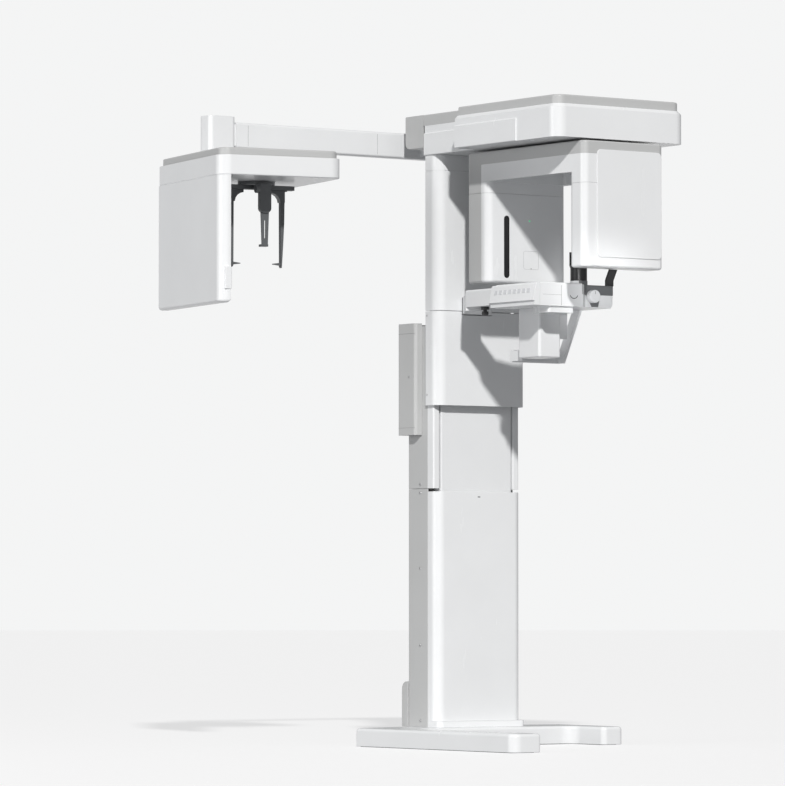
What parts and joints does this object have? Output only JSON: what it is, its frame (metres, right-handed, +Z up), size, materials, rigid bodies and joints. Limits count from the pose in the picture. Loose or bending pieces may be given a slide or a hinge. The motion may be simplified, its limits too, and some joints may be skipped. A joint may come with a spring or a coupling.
{
  "type": "panoramic x-ray machine",
  "caption": "Standing dental x-ray machine: lifting column with overhead arm, rotating tube and detector unit, patient head support and side arm for skull images.",
  "frame": {"origin": "on the floor in the middle of the column in plan", "axes": "+Z up, +Y to the back of the machine, the front and the patient support towards -Y, the side arm towards -X"},
  "size_m": [1.7111, 1.1825, 2.257],
  "materials": {
    "white_shell": "gloss",
    "white_paint": "gloss paint",
    "white_alloy": "gloss paint",
    "grey_shell": "satin",
    "grey_paint": "satin paint",
    "dark_plastic": "satin",
    "black_plastic": "satin",
    "steel": "brushed",
    "chrome_rod": "polished",
    "alloy": "machined",
    "floor_steel": "primer",
    "board": "satin",
    "rubber_wheel": "matte",
    "key_plastic": "satin",
    "mid_plastic": "satin",
    "charcoal_plastic": "satin"
  },
  "bodies": {
    "stand": {"base_cover": "white_shell", "base_plate": "floor_steel", "plinth": "white_shell", "rear_frame_lower": "grey_paint", "rear_frame_upper": "grey_paint", "lower_front_cover": "white_shell", "side_trims": "white_shell", "guide_rails": "steel", "lift_tube": "alloy", "rear_bracket": "grey_paint", "electronics_box": "grey_shell", "control_board": "board", "frame_screws": "steel"},
    "rocker": {"mains_rocker": "black_plastic"},
    "carriage": {"inner_column": "white_alloy", "bearing_blocks": "alloy", "lift_rod": "chrome_rod", "moving_cover_low": "white_shell", "moving_cover_high": "white_shell", "top_plate": "floor_steel", "top_housing": "white_shell", "top_lid": "grey_shell", "rear_block": "grey_shell", "table_arm": "white_alloy", "table_body": "white_shell", "temple_housing": "dark_plastic", "chin_box": "white_shell", "handle": "white_shell", "control_panel": "white_shell", "keypad": "key_plastic", "stop_collar": "charcoal_plastic", "ceph_boom": "white_alloy", "ceph_plate": "white_shell", "ceph_lid": "grey_shell", "sensor_box": "white_shell"},
    "turntable": {"turn_carriage": "alloy", "spindle_bearing": "steel", "turn_motor": "black_plastic"},
    "wheel": {"drive_wheel": "rubber_wheel"},
    "rotor": {"rotor_hub": "alloy", "rotor_frame": "alloy", "rotor_cover": "grey_shell", "arch_cover": "white_shell", "detector_rear": "grey_shell", "detector_front": "white_shell", "detector_sensor": "black_plastic", "tube_shell": "white_shell", "front_panel": "white_shell", "xray_tank": "alloy"},
    "front_temple": {"temple_front": "black_plastic"},
    "rear_temple": {"temple_rear": "black_plastic"},
    "knob": {"width_knob": "white_shell"},
    "chin": {"chin_rest": "black_plastic"},
    "stop": {"stop_button": "charcoal_plastic"},
    "sensor": {"sensor_plate": "dark_plastic"},
    "ear_turner": {"ear_head": "dark_plastic"},
    "left_ear": {"ear_rod_left": "mid_plastic"},
    "right_ear": {"ear_rod_right": "mid_plastic"},
    "nasion": {"nasion_bar": "mid_plastic"}
  },
  "joints": [
    {"name": "lift", "type": "slide", "parent": "stand", "child": "carriage", "axis": [0, 0, 1], "range_m": [-0.6, 0.1]},
    {"name": "mains_tilt", "type": "hinge", "parent": "stand", "child": "rocker", "pos_m": [0.212, 0.06, 1.175], "axis": [0, 1, 0], "range_deg": [-8, 8]},
    {"name": "axis_shift", "type": "slide", "parent": "carriage", "child": "turntable", "axis": [0, 1, 0], "range_m": [-0.01, 0.01]},
    {"name": "rotor_turn", "type": "hinge", "parent": "turntable", "child": "rotor", "pos_m": [0, -0.595, 2.1], "axis": [0, 0, 1], "range_deg": [-180, 180]},
    {"name": "wheel_spin", "type": "hinge", "parent": "turntable", "child": "wheel", "pos_m": [0, -0.7104, 2.15], "axis": [0, 0, 1], "range_deg": [-1210, 1210]},
    {"name": "knob_turn", "type": "hinge", "parent": "carriage", "child": "knob", "pos_m": [0.03, -0.701, 1.579], "axis": [0, 1, 0], "range_deg": [-288, 0]},
    {"name": "front_temple_slide", "type": "slide", "parent": "carriage", "child": "front_temple", "axis": [0, -1, 0], "range_m": [0, 0.008]},
    {"name": "rear_temple_slide", "type": "slide", "parent": "carriage", "child": "rear_temple", "axis": [0, 1, 0], "range_m": [0, 0.0081]},
    {"name": "chin_lift", "type": "slide", "parent": "carriage", "child": "chin", "axis": [0, 0, 1], "range_m": [0, 0.03]},
    {"name": "stop_push", "type": "slide", "parent": "carriage", "child": "stop", "axis": [0, 0, 1], "range_m": [0, 0.004], "stiffness_N_per_m": 800, "springref_m": -0.001},
    {"name": "sensor_scan", "type": "slide", "parent": "carriage", "child": "sensor", "axis": [-0.1908, -0.9816, 0], "range_m": [-0.15, 0.15]},
    {"name": "ear_turn", "type": "hinge", "parent": "carriage", "child": "ear_turner", "pos_m": [-0.96924, -0.09424, 1.966], "axis": [0, 0, 1], "range_deg": [-90, 90]},
    {"name": "right_ear_slide", "type": "slide", "parent": "ear_turner", "child": "right_ear", "axis": [0.9816, -0.1908, 0], "range_m": [-0.03, 0.022]},
    {"name": "left_ear_slide", "type": "slide", "parent": "ear_turner", "child": "left_ear", "axis": [-0.9816, 0.1908, 0], "range_m": [-0.03, 0.022]},
    {"name": "nasion_lift", "type": "slide", "parent": "ear_turner", "child": "nasion", "axis": [0, 0, 1], "range_m": [-0.03, 0.02]}
  ],
  "couplings": [
    {"joint": "wheel_spin", "follows": "rotor_turn", "ratio": -6.6667},
    {"joint": "knob_turn", "follows": "front_temple_slide", "rad_per_m": -625},
    {"joint": "rear_temple_slide", "follows": "front_temple_slide", "ratio": 1},
    {"joint": "left_ear_slide", "follows": "right_ear_slide", "ratio": 1}
  ]
}
